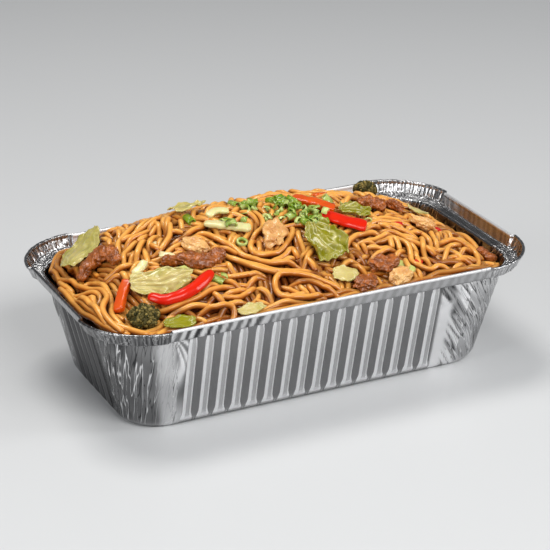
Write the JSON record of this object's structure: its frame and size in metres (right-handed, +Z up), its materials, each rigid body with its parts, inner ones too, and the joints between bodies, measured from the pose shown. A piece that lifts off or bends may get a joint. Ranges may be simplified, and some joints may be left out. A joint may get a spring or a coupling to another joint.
{
  "type": "foil tray meal",
  "caption": "Open oblong foil tray with ribbed walls and a folded rim, heaped with glossy fried noodles, strips of beef, chicken, cabbage, pepper, carrot and broccoli.",
  "frame": {"origin": "middle of the underside of the tray's base", "axes": "+X along the tray's long side, +Y towards its back long side, +Z up"},
  "size_m": [0.2168, 0.1222, 0.0779],
  "materials": {
    "foil": "bright crinkled foil",
    "noodles": "glossy fried egg noodles with a thin brown sauce",
    "cabbage": "moist cooked cabbage, pale stem to green edge",
    "onion": "moist translucent cooked onion",
    "beef": "browned beef with a sauce glaze",
    "chicken": "browned chicken with a light glaze",
    "red_pepper": "glossy cooked red pepper",
    "carrot": "moist cooked carrot",
    "broccoli": "dark rough buds",
    "spring_onion": "fresh cut rings"
  },
  "bodies": {
    "root": {"beef_1": "beef", "beef_2": "beef", "beef_3": "beef", "beef_4": "beef", "beef_5": "beef", "beef_6": "beef", "beef_7": "beef", "broccoli_1": "broccoli", "broccoli_2": "broccoli", "cabbage_leaf_1": "cabbage", "cabbage_leaf_2": "cabbage", "cabbage_leaf_3": "cabbage", "cabbage_leaf_4": "cabbage", "cabbage_leaf_5": "cabbage", "cabbage_leaf_6": "cabbage", "cabbage_leaf_7": "cabbage", "cabbage_leaf_8": "cabbage", "cabbage_leaf_9": "cabbage", "cabbage_stem_1": "cabbage", "cabbage_stem_2": "cabbage", "carrot_1": "carrot", "carrot_2": "carrot", "chicken_1": "chicken", "chicken_2": "chicken", "chicken_3": "chicken", "chicken_4": "chicken", "foil_tray": "foil", "noodles": "noodles", "onion_curl": "onion", "red_pepper_1": "red_pepper", "red_pepper_2": "red_pepper"}
  },
  "joints": []
}
